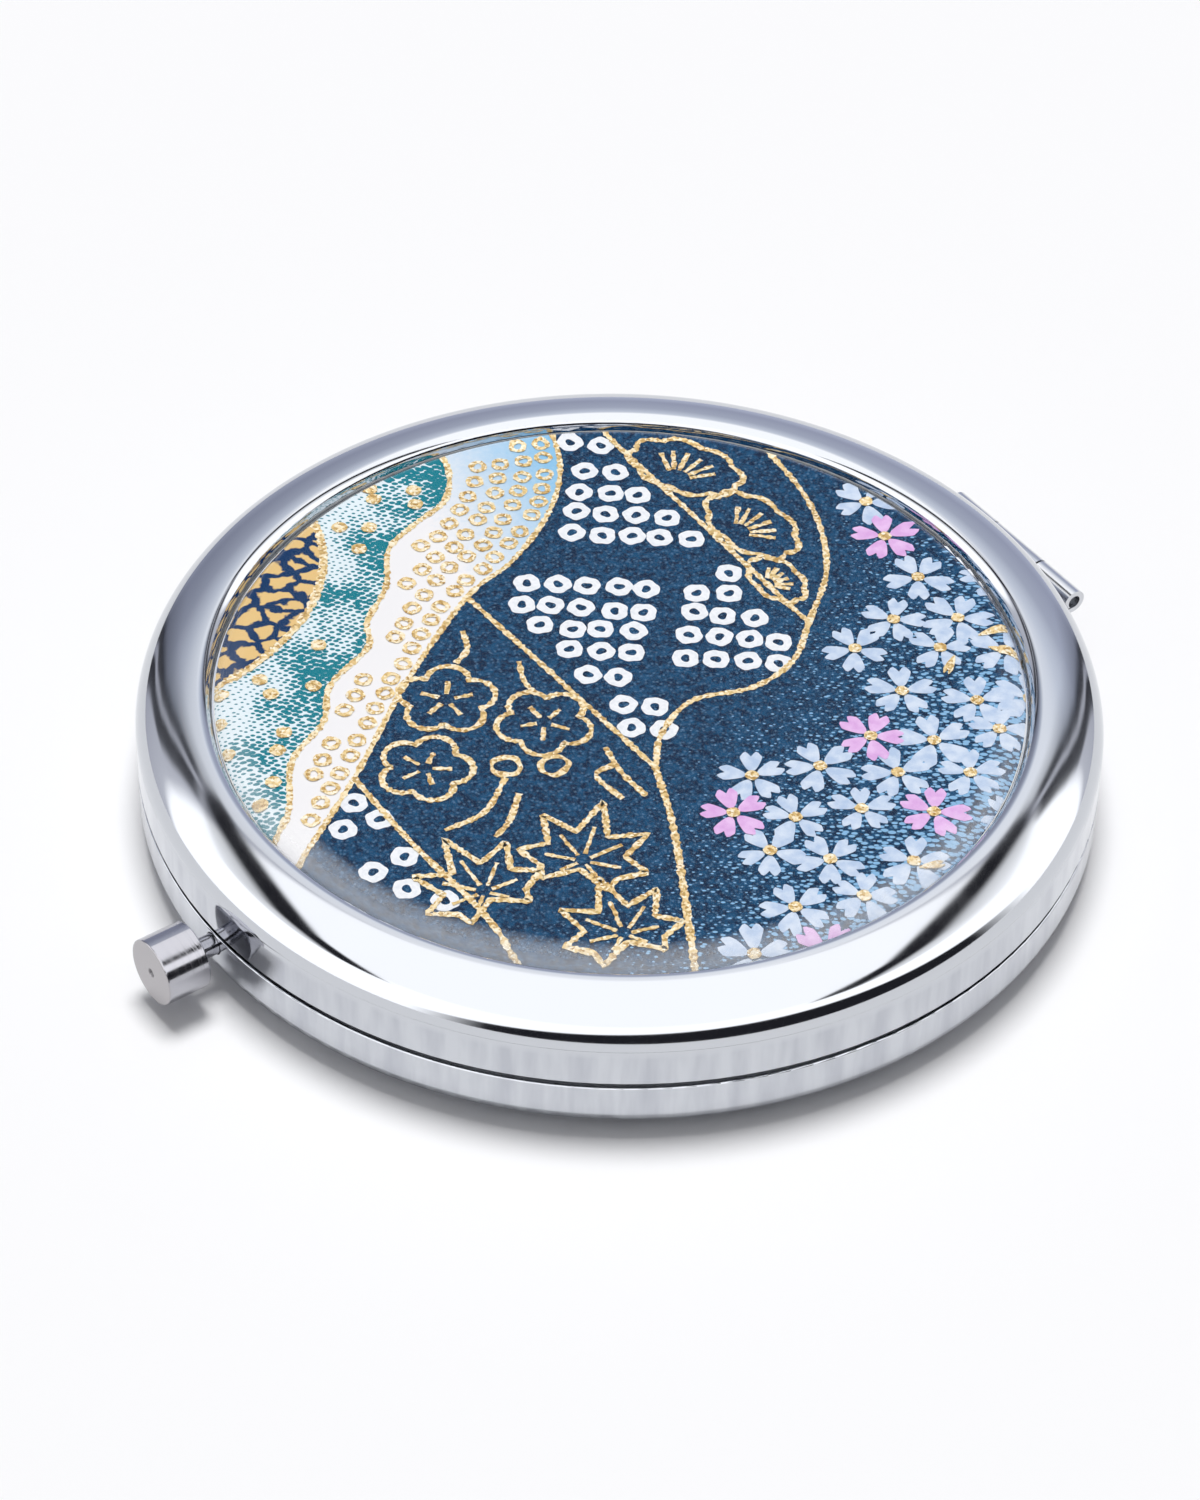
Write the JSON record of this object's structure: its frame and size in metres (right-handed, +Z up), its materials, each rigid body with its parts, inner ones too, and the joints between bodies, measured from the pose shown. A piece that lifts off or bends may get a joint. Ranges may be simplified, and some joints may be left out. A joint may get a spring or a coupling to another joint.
{
  "type": "compact mirror",
  "caption": "Round folding pocket mirror: chrome-plated case with a raised rim, printed paper under a clear resin dome, a push-button catch, a rear hinge and a mirror in each half.",
  "frame": {"origin": "middle of the flat underside of the base shell", "axes": "+Z up out of the base, -Y toward the push button, +Y toward the hinge, +X to the right seen from the button"},
  "size_m": [0.07, 0.0782, 0.0112],
  "materials": {
    "chrome_case": "bright chrome plate on stamped steel sheet",
    "chrome_button": "bright plate on turned steel",
    "hinge_metal": "bright plate on rolled steel strip",
    "pin_steel": "drawn steel wire",
    "spring_steel": "rolled spring steel",
    "frame_plastic": "moulded silver-grey plastic, satin",
    "mirror_glass": "silvered float glass",
    "foam_pad": "closed-cell foam tape",
    "printed_paper": "screen-printed paper",
    "clear_resin": "clear poured epoxy resin"
  },
  "bodies": {
    "base": {"base_shell": "chrome_case", "base_frame": "frame_plastic", "base_mirror": "mirror_glass", "base_mirror_pad": "foam_pad", "base_hinge_leaf": "hinge_metal", "hinge_pin": "pin_steel", "catch_spring": "spring_steel"},
    "lid": {"lid_shell": "chrome_case", "paper_disc": "printed_paper", "resin_dome": "clear_resin", "lid_frame": "frame_plastic", "lid_mirror": "mirror_glass", "lid_mirror_pad": "foam_pad", "lid_hinge_leaf": "hinge_metal", "lid_catch": "spring_steel"},
    "button": {"button_plunger": "chrome_button", "button_clip": "spring_steel"}
  },
  "joints": [
    {"name": "lid_open", "type": "hinge", "parent": "base", "child": "lid", "pos_m": [0, 0.0371, 0.00514], "axis": [-1, 0, 0], "range_deg": [0, 135], "deforming": ["catch_spring"]},
    {"name": "button_press", "type": "slide", "parent": "base", "child": "button", "axis": [0, 1, 0], "range_m": [0, 0.0012], "stiffness_N_per_m": 900, "springref_m": -0.0008, "deforming": ["catch_spring"]}
  ]
}
